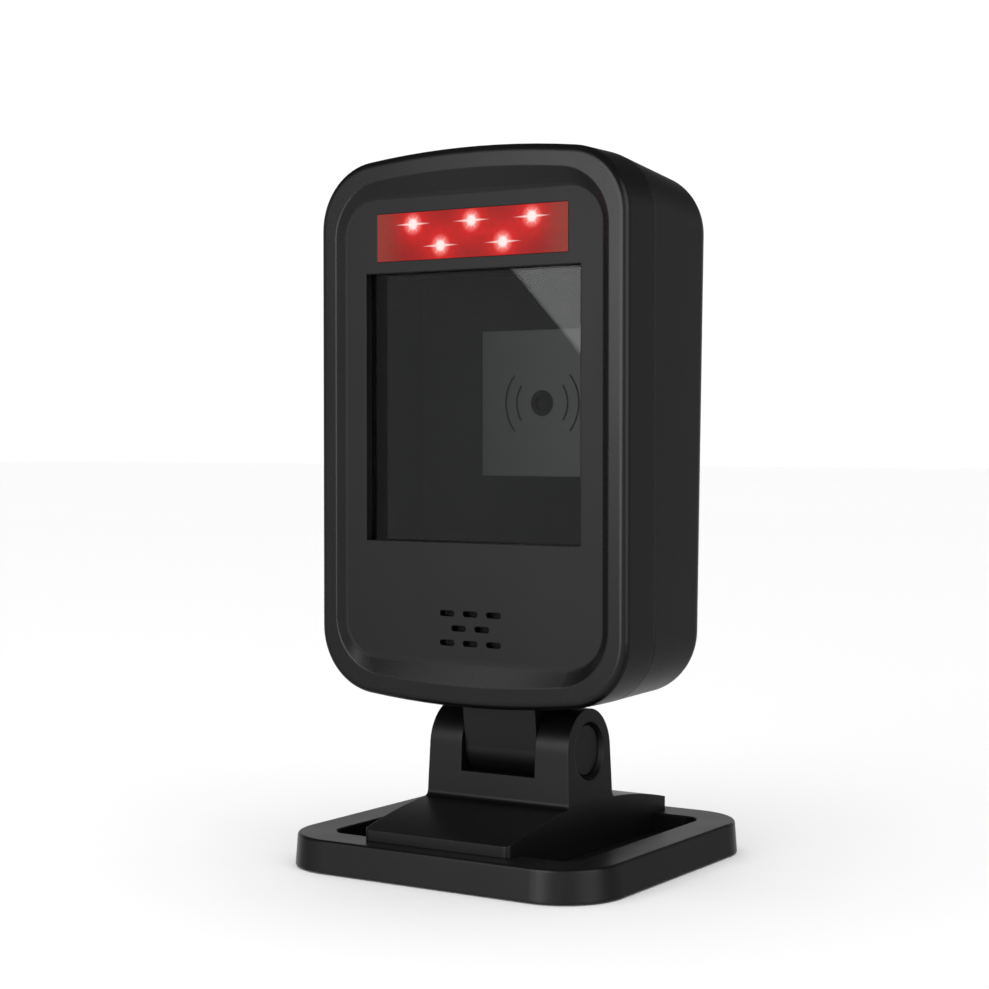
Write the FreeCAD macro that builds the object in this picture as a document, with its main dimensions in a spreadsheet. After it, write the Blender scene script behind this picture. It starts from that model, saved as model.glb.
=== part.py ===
import FreeCAD, Part

# Hands-free presentation barcode scanner: a scan head that tilts on a hinge bracket with a
# weighted square foot. Millimetres, +Z up, the operator's side faces -Y, and the origin is on
# the table under the middle of the foot. The hinge axis runs along X above the origin.

import math
import operator
import os

import Sketcher

os.makedirs("parts", exist_ok=True)
doc = FreeCAD.newDocument("presentation_scanner")

# ---------------------------------------------------------------------------
# Driving dimensions
# ---------------------------------------------------------------------------

DIMENSIONS = {
    # foot ring
    "base_width": 77.0,
    "base_depth": 74.8,
    "base_corner": 13.3,
    "base_draft_angle": 4.3,
    "base_bottom": 0.4,
    "base_top": 7.0,
    "base_edge_round": 0.6,
    "recess_width": 59.8,
    "recess_depth": 56.4,
    "recess_middle": -0.2,
    "recess_corner": 4.2,
    "recess_edge_round": 0.3,
    "floor_top": 3.0,
    "floor_thickness": 1.4,
    "ring_wall": 2.0,
    "ring_roof": 2.0,
    "cover_thickness": 1.2,
    "cover_gap": 0.2,
    "foot_radius": 5.0,
    "foot_height": 0.9,
    "foot_x": 24.0,
    "foot_y": 23.0,
    "base_screw_x": 31.4,
    "base_screw_y": 30.1,
    # foot plate and bracket, one moulding
    "bracket_width": 35.3,
    "foot_plate_front": 32.6,
    "foot_plate_rear": 34.2,
    "plate_crown_top": 13.6,
    "plate_crown_middle": 1.4,
    "plate_end_top": 9.4,
    "plate_corner": 1.2,
    "bracket_screw_x": 9.0,
    "bracket_screw_y": 20.0,
    "weight_cavity_width": 29.0,
    "weight_cavity_length": 50.0,
    "weight_cavity_top": 8.0,
    "weight_gap": 0.2,
    "ear_radius": 8.8,
    "ear_front_lean": 0.036,
    "ear_side_lean": 0.035,
    "ear_foot_round": 1.2,
    "slot_width": 18.4,
    "slot_floor": 19.1,
    "trough_radius": 8.15,
    "cap_recess_mouth": 6.5,
    "cap_recess_angle": 37.6,
    "cap_recess_radius": 5.5,
    "cap_recess_depth": 1.3,
    "cap_radius": 5.45,
    "cap_thickness": 1.2,
    "head_pocket_radius": 4.6,
    "head_pocket_floor": 12.0,
    # hinge
    "hinge_height": 24.4,
    "bolt_radius": 2.0,
    "bolt_hole_ear": 2.1,
    "bolt_hole_knuckle": 2.05,
    "bolt_head_radius": 3.6,
    "bolt_head_height": 2.4,
    "lock_washer_thickness": 0.8,
    "nut_height": 1.9,
    "nut_radius": 4.04,
    "friction_washer_radius": 6.0,
    "friction_washer_thickness": 0.46,
    "friction_seat_radius": 6.2,
    "friction_seat_depth": 0.3,
    "knuckle_radius": 7.6,
    "neck_width": 18.0,
    "neck_shoulder": 34.2,
    "neck_front_lean": 1.1,
    "flange_width": 33.0,
    "flange_bottom": 37.8,
    "flange_thickness": 2.4,
    "neck_screw_x": 13.0,
    # head shells
    "head_width": 75.2,
    "head_height": 115.7,
    "head_middle": 92.15,
    "head_corner": 14.1,
    "head_crown": 212.0,
    "wall": 2.2,
    "bezel_depth": 20.8,
    "bezel_inner_width": 66.8,
    "bezel_inner_height": 106.7,
    "bezel_inner_corner": 12.1,
    "bezel_inner_crown": 208.0,
    "bezel_thickness": 3.5,
    "panel_set_back": 1.3,
    "panel_width": 63.0,
    "panel_height": 96.5,
    "panel_corner": 7.6,
    "panel_thickness": 2.2,
    "front_round": 1.6,
    "bezel_lip_round": 0.35,
    "seam_depth": 9.1,
    "seam_gap": 0.25,
    "lip_thickness": 1.0,
    "lip_gap": 0.16,
    "lip_reach": 1.2,
    "rear_depth": 15.2,
    "rear_reference_height": 97.0,
    "rear_slope": 0.032,
    "rear_round": 4.0,
    "rear_draft": 0.0245,
    "rear_top_fall": 0.09,
    "boss_x": 29.5,
    "boss_low": 46.0,
    "boss_high": 137.4,
    "boss_radius": 3.0,
    "boss_meeting": 7.0,
    "well_radius": 2.6,
    "well_floor": 2.0,
    # window, chamber and engine
    "window_width": 52.72,
    "window_low": 68.4,
    "window_high": 124.88,
    "window_rim": 1.5,
    "window_set_back": 1.9,
    "pane_thickness": 2.0,
    "gasket_thickness": 0.8,
    "gasket_clearance": 0.6,
    "chamber_wall": 0.8,
    "chamber_back": 4.2,
    "plate_front": 2.0,
    "engine_plate_thickness": 0.6,
    "engine_plate_width": 30.3,
    "engine_plate_height": 31.3,
    "engine_x": 4.35,
    "engine_z": 97.6,
    "lens_hole_radius": 2.8,
    "barrel_radius": 2.7,
    "engine_width": 22.0,
    "engine_height": 15.0,
    "engine_depth": 6.0,
    # lamps
    "led_window_width": 46.8,
    "led_window_height": 9.9,
    "led_window_middle": 132.35,
    "led_window_thickness": 0.8,
    "led_window_gap": 0.05,
    "led_ledge": 1.0,
    "led_board_width": 49.6,
    "led_board_height": 10.0,
    "board_thickness": 1.6,
    "led_pitch": 14.6,
    "led_row_high": 134.87,
    "led_row_low": 130.1,
    # speaker slots
    "speaker_slot_length": 3.63,
    "speaker_slot_height": 1.16,
    "speaker_slot_pitch": 5.72,
    "speaker_row_pitch": 3.07,
    "speaker_middle": 50.6,
    "speaker_radius": 7.5,
    "speaker_depth": 4.0,
    "speaker_felt": 0.3,
    # decoder board and socket
    "board_front": 3.0,
    "board_width": 51.0,
    "board_low": 43.8,
    "board_high": 66.0,
    "post_x": 21.0,
    "post_low": 48.0,
    "post_high": 62.0,
    "post_radius": 2.2,
    "jack_width": 15.4,
    "jack_low": 47.4,
    "jack_high": 60.6,
    "jack_mouth": 13.2,
    "socket_width": 11.9,
    "socket_low": 49.2,
    "socket_high": 57.7,
}

sheet = doc.addObject("Spreadsheet::Sheet", "dims")
for row, (alias, number) in enumerate(DIMENSIONS.items(), start=1):
    sheet.set(f"A{row}", alias)
    sheet.set(f"B{row}", str(number))
    sheet.setAlias(f"B{row}", alias)
doc.recompute()


class Size:
    """A number together with the sheet expression that drives it."""

    def __init__(self, value, text):
        self.value = value
        self.text = text

    def __add__(self, other):
        return combine(self, "+", other)

    def __radd__(self, other):
        return combine(other, "+", self)

    def __sub__(self, other):
        return combine(self, "-", other)

    def __rsub__(self, other):
        return combine(other, "-", self)

    def __mul__(self, other):
        return combine(self, "*", other)

    def __rmul__(self, other):
        return combine(other, "*", self)

    def __truediv__(self, other):
        return combine(self, "/", other)

    def __neg__(self):
        return combine(0, "-", self)


OPERATIONS = {"+": operator.add, "-": operator.sub, "*": operator.mul, "/": operator.truediv}


def as_size(number):
    if isinstance(number, Size):
        return number
    return Size(float(number), f"({float(number)})")


def combine(left, sign, right):
    left = as_size(left)
    right = as_size(right)
    return Size(OPERATIONS[sign](left.value, right.value), f"({left.text} {sign} {right.text})")


class Dimensions:
    """Gives each cell of the sheet as a Size: d.wall, d.head_width and so on."""

    def __getattr__(self, alias):
        return Size(DIMENSIONS[alias], f"dims.{alias}")


d = Dimensions()


def bind(item, path, number):
    item.setExpression(path, as_size(number).text)


# ---------------------------------------------------------------------------
# Sketches
# ---------------------------------------------------------------------------

PLANE_NORMAL = {"XY_Plane": 1, "XZ_Plane": -1, "YZ_Plane": 1}
START, END, CENTRE = 1, 2, 3
ORIGIN = (-1, 1)
VERTICAL_AXIS = -2


def new_body(label):
    body = doc.addObject("PartDesign::Body", label)
    body.Label = label
    return body


def origin_plane(body, role):
    return [item for item in body.Origin.OriginFeatures if item.Role == role][0]


class Drawing:
    """A sketch on one of its body's origin planes, moved to a level along the plane's axis."""

    def __init__(self, body, name, plane, level=0):
        self.plane = plane
        self.sketch = body.newObject("Sketcher::SketchObject", name)
        self.sketch.AttachmentSupport = (origin_plane(body, plane), [""])
        self.sketch.MapMode = "FlatFace"
        bind(self.sketch, "AttachmentOffset.Base.z", PLANE_NORMAL[plane] * as_size(level))

    def drive(self, kind, places, number):
        number = as_size(number)
        index = self.sketch.addConstraint(Sketcher.Constraint(kind, *places, number.value))
        self.sketch.setExpression(f"Constraints[{index}]", number.text)

    def relate(self, kind, *places):
        self.sketch.addConstraint(Sketcher.Constraint(kind, *places))

    def distance(self, kind, point, number):
        number = as_size(number)
        if number.value >= 0:
            self.drive(kind, ORIGIN + point, number)
        else:
            self.drive(kind, point + ORIGIN, -number)

    def locate(self, point, across, up):
        self.distance("DistanceX", point, across)
        self.distance("DistanceY", point, up)

    def line(self, start, end):
        first = FreeCAD.Vector(as_size(start[0]).value, as_size(start[1]).value, 0)
        last = FreeCAD.Vector(as_size(end[0]).value, as_size(end[1]).value, 0)
        return self.sketch.addGeometry(Part.LineSegment(first, last), False)

    def arc(self, centre, radius, from_angle, to_angle):
        middle = FreeCAD.Vector(as_size(centre[0]).value, as_size(centre[1]).value, 0)
        circle = Part.Circle(middle, FreeCAD.Vector(0, 0, 1), as_size(radius).value)
        return self.sketch.addGeometry(Part.ArcOfCircle(circle, from_angle, to_angle), False)

    def circle(self, across, up, radius):
        middle = FreeCAD.Vector(as_size(across).value, as_size(up).value, 0)
        round_one = Part.Circle(middle, FreeCAD.Vector(0, 0, 1), as_size(radius).value)
        index = self.sketch.addGeometry(round_one, False)
        self.locate((index, CENTRE), across, up)
        self.drive("Radius", (index,), radius)

    def profile(self, corners, bends=None):
        """A closed outline through corners; bends maps a corner's number to (radius, side) of
        the arc that leaves it. Side +1 bulges to the right of the way to the next corner."""
        bends = bends or {}
        count = len(corners)
        pieces = []
        for number, corner in enumerate(corners):
            following = corners[(number + 1) % count]
            if number in bends:
                pieces.append(self.bend(corner, following, *bends[number]))
            else:
                pieces.append((self.line(corner, following), START, END))
        for number, (index, first, last) in enumerate(pieces):
            after, after_first, after_last = pieces[(number + 1) % count]
            self.relate("Coincident", index, last, after, after_first)
        for number, (index, first, last) in enumerate(pieces):
            self.locate((index, first), *corners[number])
            if number in bends:
                self.drive("Radius", (index,), bends[number][0])

    def bend(self, start, end, radius, side):
        x0, y0 = as_size(start[0]).value, as_size(start[1]).value
        x1, y1 = as_size(end[0]).value, as_size(end[1]).value
        span = math.hypot(x1 - x0, y1 - y0)
        rise = math.sqrt(max(as_size(radius).value ** 2 - span ** 2 / 4, 0.0))
        left_x, left_y = -(y1 - y0) / span, (x1 - x0) / span
        centre = ((x0 + x1) / 2 + side * rise * left_x, (y0 + y1) / 2 + side * rise * left_y)
        start_angle = math.atan2(y0 - centre[1], x0 - centre[0])
        end_angle = math.atan2(y1 - centre[1], x1 - centre[0])
        if side > 0:
            return (self.arc(centre, radius, start_angle, end_angle), START, END)
        return (self.arc(centre, radius, end_angle, start_angle), END, START)

    def rectangle(self, left, right, low, high):
        self.profile([(left, low), (right, low), (right, high), (left, high)])

    def join_smoothly(self, pieces):
        count = len(pieces)
        for number in range(count):
            self.relate("Tangent", pieces[number], END, pieces[(number + 1) % count], START)

    def crowned(self, half_width, half_height, corner, crown, middle=0):
        """An upright outline: straight sides, round corners, and top and bottom that bulge."""
        half_width, half_height = as_size(half_width), as_size(half_height)
        corner, crown, middle = as_size(corner), as_size(crown), as_size(middle)
        corner_x = half_width.value - corner.value
        reach = crown.value - corner.value
        lift = half_height.value - crown.value + math.sqrt(reach ** 2 - corner_x ** 2)
        lean = math.asin(corner_x / reach)
        side, top = half_width.value, middle.value + lift
        bottom = middle.value - lift
        high_centre = middle.value + half_height.value - crown.value
        low_centre = middle.value - half_height.value + crown.value
        quarter = math.pi / 2
        pieces = [
            self.line((side, bottom), (side, top)),
            self.arc((corner_x, top), corner, 0, quarter - lean),
            self.arc((0, high_centre), crown, quarter - lean, quarter + lean),
            self.arc((-corner_x, top), corner, quarter + lean, 2 * quarter),
            self.line((-side, top), (-side, bottom)),
            self.arc((-corner_x, bottom), corner, 2 * quarter, 3 * quarter - lean),
            self.arc((0, low_centre), crown, 3 * quarter - lean, 3 * quarter + lean),
            self.arc((corner_x, bottom), corner, 3 * quarter + lean, 4 * quarter),
        ]
        self.join_smoothly(pieces)
        for index, across in ((pieces[0], half_width), (pieces[4], -half_width)):
            self.relate("Vertical", index)
            self.distance("DistanceX", (index, START), across)
        for index, up in ((pieces[2], half_height - crown), (pieces[6], crown - half_height)):
            self.relate("PointOnObject", index, CENTRE, VERTICAL_AXIS)
            self.distance("DistanceY", (index, CENTRE), middle + up)
            self.drive("Radius", (index,), crown)
        for number in (1, 3, 5, 7):
            self.drive("Radius", (pieces[number],), corner)

    def rounded(self, half_width, half_height, corner, middle=0):
        """A rectangle with round corners."""
        half_width, half_height = as_size(half_width), as_size(half_height)
        corner, middle = as_size(corner), as_size(middle)
        side, straight = half_width.value, half_width.value - corner.value
        top, bottom = middle.value + half_height.value, middle.value - half_height.value
        high, low = top - corner.value, bottom + corner.value
        quarter = math.pi / 2
        pieces = [
            self.line((side, low), (side, high)),
            self.arc((straight, high), corner, 0, quarter),
            self.line((straight, top), (-straight, top)),
            self.arc((-straight, high), corner, quarter, 2 * quarter),
            self.line((-side, high), (-side, low)),
            self.arc((-straight, low), corner, 2 * quarter, 3 * quarter),
            self.line((-straight, bottom), (straight, bottom)),
            self.arc((straight, low), corner, 3 * quarter, 4 * quarter),
        ]
        self.join_smoothly(pieces)
        for index, across in ((pieces[0], half_width), (pieces[4], -half_width)):
            self.relate("Vertical", index)
            self.distance("DistanceX", (index, START), across)
        for index, up in ((pieces[2], half_height), (pieces[6], -half_height)):
            self.relate("Horizontal", index)
            self.distance("DistanceY", (index, START), middle + up)
        for number in (1, 3, 5, 7):
            self.drive("Radius", (pieces[number],), corner)

    def slot(self, across, up, length, height):
        """A level slot with round ends."""
        across, up, length, height = (as_size(n) for n in (across, up, length, height))
        reach = (length - height) / 2
        radius = height / 2
        left, right = across.value - reach.value, across.value + reach.value
        low, high = up.value - radius.value, up.value + radius.value
        quarter = math.pi / 2
        pieces = [
            self.line((left, low), (right, low)),
            self.arc((right, up), radius, -quarter, quarter),
            self.line((right, high), (left, high)),
            self.arc((left, up), radius, quarter, 3 * quarter),
        ]
        self.join_smoothly(pieces)
        self.relate("Horizontal", pieces[0])
        self.relate("Horizontal", pieces[2])
        self.locate((pieces[1], CENTRE), across + reach, up)
        self.distance("DistanceX", (pieces[3], CENTRE), across - reach)
        self.drive("Radius", (pieces[1],), radius)


# ---------------------------------------------------------------------------
# Body features
# ---------------------------------------------------------------------------

def settle(body, volume_before, should_grow):
    doc.recompute()
    change = body.Shape.Volume - volume_before
    if (change > 0) != should_grow or abs(change) < 1e-6:
        raise RuntimeError(f"{body.Tip.Name} of {body.Label} changed the volume by {change}")


def volume_of(body):
    return 0.0 if body.Tip is None or body.Shape.isNull() else body.Shape.Volume


def pad(body, drawing, length, toward):
    """Adds material from the drawing's level, towards + or - along the plane's world axis."""
    before = volume_of(body)
    feature = body.newObject("PartDesign::Pad", f"{drawing.sketch.Name}_pad")
    feature.Profile = drawing.sketch
    bind(feature, "Length", length)
    feature.Reversed = toward * PLANE_NORMAL[drawing.plane] < 0
    settle(body, before, True)


def pocket(body, drawing, length, toward):
    """Removes material from the drawing's level, towards + or - along the world axis."""
    before = volume_of(body)
    feature = body.newObject("PartDesign::Pocket", f"{drawing.sketch.Name}_pocket")
    feature.Profile = drawing.sketch
    bind(feature, "Length", length)
    feature.Reversed = toward * PLANE_NORMAL[drawing.plane] > 0
    settle(body, before, False)


def round_edges(body, name, radius, wanted):
    """Rounds every edge of the body for which wanted(edge) holds."""
    base = body.Tip
    edges = [f"Edge{number}" for number, edge in enumerate(base.Shape.Edges, 1) if wanted(edge)]
    feature = body.newObject("PartDesign::Fillet", name)
    feature.Base = (base, edges)
    bind(feature, "Radius", radius)
    doc.recompute()
    if not edges or not feature.Shape.isValid():
        raise RuntimeError(f"{name} of {body.Label} failed on {len(edges)} edges")


def every_point(edge, test):
    return all(test(point) for point in edge.discretize(5))


def near(number, target):
    return abs(number - as_size(target).value) < 1e-3


def rear_face(height):
    """How far back the sloping rear face stands at a height."""
    return d.rear_depth + (height - d.rear_reference_height) * d.rear_slope


# ---------------------------------------------------------------------------
# Plain solids
# ---------------------------------------------------------------------------

TURNS = {
    "X": FreeCAD.Rotation(FreeCAD.Vector(0, 1, 0), 90),
    "Y": FreeCAD.Rotation(FreeCAD.Vector(1, 0, 0), -90),
    "Z": FreeCAD.Rotation(),
}


def place(item, corner):
    for axis, number in zip("xyz", corner):
        bind(item, f"Placement.Base.{axis}", number)


def block(name, low, high):
    item = doc.addObject("Part::Box", name)
    for side, bottom, top in zip(("Length", "Width", "Height"), low, high):
        bind(item, side, as_size(top) - bottom)
    place(item, low)
    return item


def rod(name, start, axis, radius, length):
    """A cylinder that runs from start along + its axis."""
    item = doc.addObject("Part::Cylinder", name)
    item.Placement = FreeCAD.Placement(FreeCAD.Vector(), TURNS[axis])
    bind(item, "Radius", radius)
    bind(item, "Height", length)
    place(item, start)
    return item


def joined(name, items):
    item = doc.addObject("Part::MultiFuse", name)
    item.Shapes = items
    return item


def less(name, base, tools):
    item = doc.addObject("Part::Cut", name)
    item.Base = base
    item.Tool = tools[0] if len(tools) == 1 else joined(f"{name}_tools", tools)
    return item


def grouped(name, items):
    item = doc.addObject("Part::Compound", name)
    item.Links = items
    return item


def chamfered(name, base, size, wanted):
    """Breaks the edges of base for which wanted(edge) holds."""
    doc.recompute()
    item = doc.addObject("Part::Chamfer", name)
    item.Base = base
    width = as_size(size).value
    edges = enumerate(base.Shape.Edges, 1)
    item.Edges = [(number, width, width) for number, edge in edges if wanted(edge)]
    return item


AXIS_ORDER = {"X": 0, "Y": 1, "Z": 2}


def screw(name, seat, axis, side, head, shank):
    """A cross-recessed screw. Its head, (radius, height), stands on the seat point towards side
    along the axis, and its shank, (radius, length), goes the other way."""
    head_radius, head_height = head
    shank_radius, shank_length = shank
    along = AXIS_ORDER[axis]

    def from_seat(offset):
        point = list(seat)
        point[along] = as_size(seat[along]) + offset
        return tuple(point)

    head_start = from_seat(0 if side > 0 else -as_size(head_height))
    shank_start = from_seat(-as_size(shank_length) if side > 0 else 0)
    solid = joined(f"{name}_solid", [
        rod(f"{name}_head", head_start, axis, head_radius, head_height),
        rod(f"{name}_shank", shank_start, axis, shank_radius, shank_length),
    ])
    recess_depth = as_size(head_height) * 0.55
    arm, half_slot = as_size(head_radius) * 0.6, as_size(head_radius) * 0.11
    bars = []
    for number in range(2):
        low, high = list(seat), list(seat)
        across = [index for index in range(3) if index != along]
        for index, reach in zip(across, (arm, half_slot) if number else (half_slot, arm)):
            low[index] = as_size(seat[index]) - reach
            high[index] = as_size(seat[index]) + reach
        inner = (as_size(head_height) - recess_depth) * side
        outer = (as_size(head_height) + 1) * side
        low[along] = as_size(seat[along]) + (inner if side > 0 else outer)
        high[along] = as_size(seat[along]) + (outer if side > 0 else inner)
        bars.append(block(f"{name}_bar_{number}", low, high))
    return less(f"{name}_cut", solid, bars)


def screw_set(label, seats, axis, side, head, shank):
    singles = [
        screw(f"{label}_{number}", seat, axis, side, head, shank)
        for number, seat in enumerate(seats, start=1)
    ]
    return name_node(grouped(label, singles), label)


NODES = {}


def name_node(item, label):
    item.Label = label
    NODES[label] = item
    return item


def four(across, along):
    """The four places (+-across, +-along)."""
    return [(x, y) for x in (-across, across) for y in (-along, along)]


# ---------------------------------------------------------------------------
# Head
# ---------------------------------------------------------------------------

half_head = d.head_width / 2
half_tall = d.head_height / 2
window_middle = (d.window_low + d.window_high) / 2
panel_y = d.panel_set_back - d.bezel_depth
panel_inner_y = panel_y + d.panel_thickness
pane_front = panel_y + d.window_set_back
pane_back = pane_front + d.pane_thickness
chamber_front = pane_back + d.gasket_thickness
chamber_half = d.window_width / 2 + d.window_rim - 0.2
chamber_low = d.window_low - d.window_rim + 0.2
chamber_high = d.window_high + d.window_rim - 0.2
boss_places = [(x, z) for x in (-d.boss_x, d.boss_x) for z in (d.boss_low, d.boss_high)]
tab_places = [(x, z) for x in (-31.0, 31.0) for z in (80.0, 113.0)]
tab_back = as_size(-10.4)
tab_front = as_size(-12.0)


def head_outline(drawing, inset=0):
    drawing.crowned(half_head - inset, half_tall - inset, d.head_corner - inset,
                    d.head_crown - inset, d.head_middle)


def make_front_housing():
    body = new_body("front_housing")
    outline = Drawing(body, "front_outline", "XZ_Plane", -d.seam_depth)
    head_outline(outline)
    pad(body, outline, d.bezel_depth - d.seam_depth, -1)
    round_edges(body, "bezel_round", d.front_round,
                lambda edge: every_point(edge, lambda p: near(p.y, -d.bezel_depth)))

    before = volume_of(body)
    rim = Drawing(body, "bezel_inner_edge", "XZ_Plane", -d.bezel_depth)
    rim.crowned(d.bezel_inner_width / 2, d.bezel_inner_height / 2, d.bezel_inner_corner,
                d.bezel_inner_crown, d.head_middle)
    panel = Drawing(body, "panel_edge", "XZ_Plane", panel_y)
    panel.rounded(d.panel_width / 2, d.panel_height / 2, d.panel_corner, d.head_middle)
    sloped = body.newObject("PartDesign::SubtractiveLoft", "panel_recess")
    sloped.Profile = rim.sketch
    sloped.Sections = [panel.sketch]
    sloped.Ruled = True
    settle(body, before, False)
    round_edges(body, "bezel_lip", d.bezel_lip_round,
                lambda edge: every_point(edge, lambda p: near(p.y, -d.bezel_depth)
                                         and abs(p.x) < d.bezel_inner_width.value / 2 + 0.01
                                         and abs(p.z - d.head_middle.value)
                                         < d.bezel_inner_height.value / 2 + 0.01))

    hollow = Drawing(body, "front_hollow", "XZ_Plane", -d.seam_depth)
    head_outline(hollow, d.wall)
    pocket(body, hollow, d.bezel_depth - d.seam_depth - d.bezel_thickness, -1)

    pane_seat = Drawing(body, "pane_seat", "XZ_Plane", panel_inner_y)
    pane_seat.rectangle(-d.window_width / 2 - d.window_rim, d.window_width / 2 + d.window_rim,
                        d.window_low - d.window_rim, d.window_high + d.window_rim)
    pocket(body, pane_seat, d.panel_thickness - d.window_set_back, -1)
    opening = Drawing(body, "window_opening", "XZ_Plane", panel_y)
    opening.rectangle(-d.window_width / 2, d.window_width / 2, d.window_low, d.window_high)
    pocket(body, opening, d.panel_thickness + 0.1, 1)

    led_half = d.led_window_width / 2 + d.led_window_gap
    led_tall = d.led_window_height / 2 + d.led_window_gap
    rebate = Drawing(body, "led_rebate", "XZ_Plane", panel_y)
    rebate.rectangle(-led_half, led_half, d.led_window_middle - led_tall,
                     d.led_window_middle + led_tall)
    pocket(body, rebate, d.led_window_thickness, 1)
    led_opening = Drawing(body, "led_opening", "XZ_Plane", panel_y)
    led_opening.rectangle(d.led_ledge - led_half, led_half - d.led_ledge,
                          d.led_window_middle - led_tall + d.led_ledge,
                          d.led_window_middle + led_tall - d.led_ledge)
    pocket(body, led_opening, d.panel_thickness + 0.1, 1)

    slots = Drawing(body, "speaker_slots", "XZ_Plane", panel_y)
    for row, count in ((-1, 3), (0, 2), (1, 3)):
        for column in range(count):
            slots.slot(d.speaker_slot_pitch * (column - (count - 1) / 2),
                       d.speaker_middle + d.speaker_row_pitch * row,
                       d.speaker_slot_length, d.speaker_slot_height)
    pocket(body, slots, d.panel_thickness + 0.1, 1)
    ring = Drawing(body, "speaker_ring", "XZ_Plane", panel_inner_y)
    ring.circle(0, d.speaker_middle, d.speaker_radius + 1.3)
    ring.circle(0, d.speaker_middle, d.speaker_radius + 0.1)
    pad(body, ring, d.speaker_depth, 1)

    bosses = Drawing(body, "front_bosses", "XZ_Plane", panel_inner_y)
    for x, z in boss_places:
        bosses.circle(x, z, d.boss_radius)
    pad(body, bosses, -panel_inner_y - d.boss_meeting, 1)
    pilot = Drawing(body, "front_boss_holes", "XZ_Plane", -d.boss_meeting)
    for x, z in boss_places:
        pilot.circle(x, z, 0.95)
    pocket(body, pilot, 8.0, -1)
    posts = Drawing(body, "chamber_posts", "XZ_Plane", panel_inner_y)
    for x, z in tab_places:
        posts.circle(x, z, 2.2)
    pad(body, posts, tab_front - panel_inner_y, 1)
    post_holes = Drawing(body, "chamber_post_holes", "XZ_Plane", tab_front)
    for x, z in tab_places:
        post_holes.circle(x, z, 0.8)
    pocket(body, post_holes, 4.0, -1)

    root = Drawing(body, "lip_root", "XZ_Plane", -d.seam_depth - 2.0)
    head_outline(root, d.wall - 0.1)
    head_outline(root, d.wall + d.lip_thickness)
    pad(body, root, 2.0, 1)
    lip = Drawing(body, "lip", "XZ_Plane", -d.seam_depth)
    head_outline(lip, d.wall + d.lip_gap)
    head_outline(lip, d.wall + d.lip_thickness)
    pad(body, lip, d.lip_reach, 1)
    name_node(body, "front_housing")


def rear_form(body, inset):
    """The rear shell's outer form, drawn in by inset: it narrows backwards, its top falls away
    and its back face leans."""
    front, far = d.seam_gap - d.seam_depth, d.rear_depth + 5.0
    near_end = Drawing(body, f"{body.Name}_front", "XZ_Plane", front)
    head_outline(near_end, inset)
    draft = d.rear_draft * (far - front)
    drop = d.rear_top_fall * (far - front) / 2
    far_end = Drawing(body, f"{body.Name}_far", "XZ_Plane", far)
    far_end.crowned(half_head - inset - draft, half_tall - inset - draft - drop,
                    d.head_corner - inset - draft, d.head_crown - inset - draft,
                    d.head_middle - drop)
    shape = body.newObject("PartDesign::AdditiveLoft", f"{body.Name}_form")
    shape.Profile = near_end.sketch
    shape.Sections = [far_end.sketch]
    shape.Ruled = True
    settle(body, 0.0, True)
    low, high = as_size(20.0), as_size(165.0)
    slope = Drawing(body, f"{body.Name}_slope", "YZ_Plane", -60.0)
    slope.profile([(rear_face(low) - inset, low), (40.0, low), (40.0, high),
                   (rear_face(high) - inset, high)])
    pocket(body, slope, 120.0, 1)
    round_edges(body, f"{body.Name}_round", d.rear_round - inset,
                lambda edge: every_point(edge, lambda p: near(p.y, rear_face(p.z) - inset)))


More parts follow.
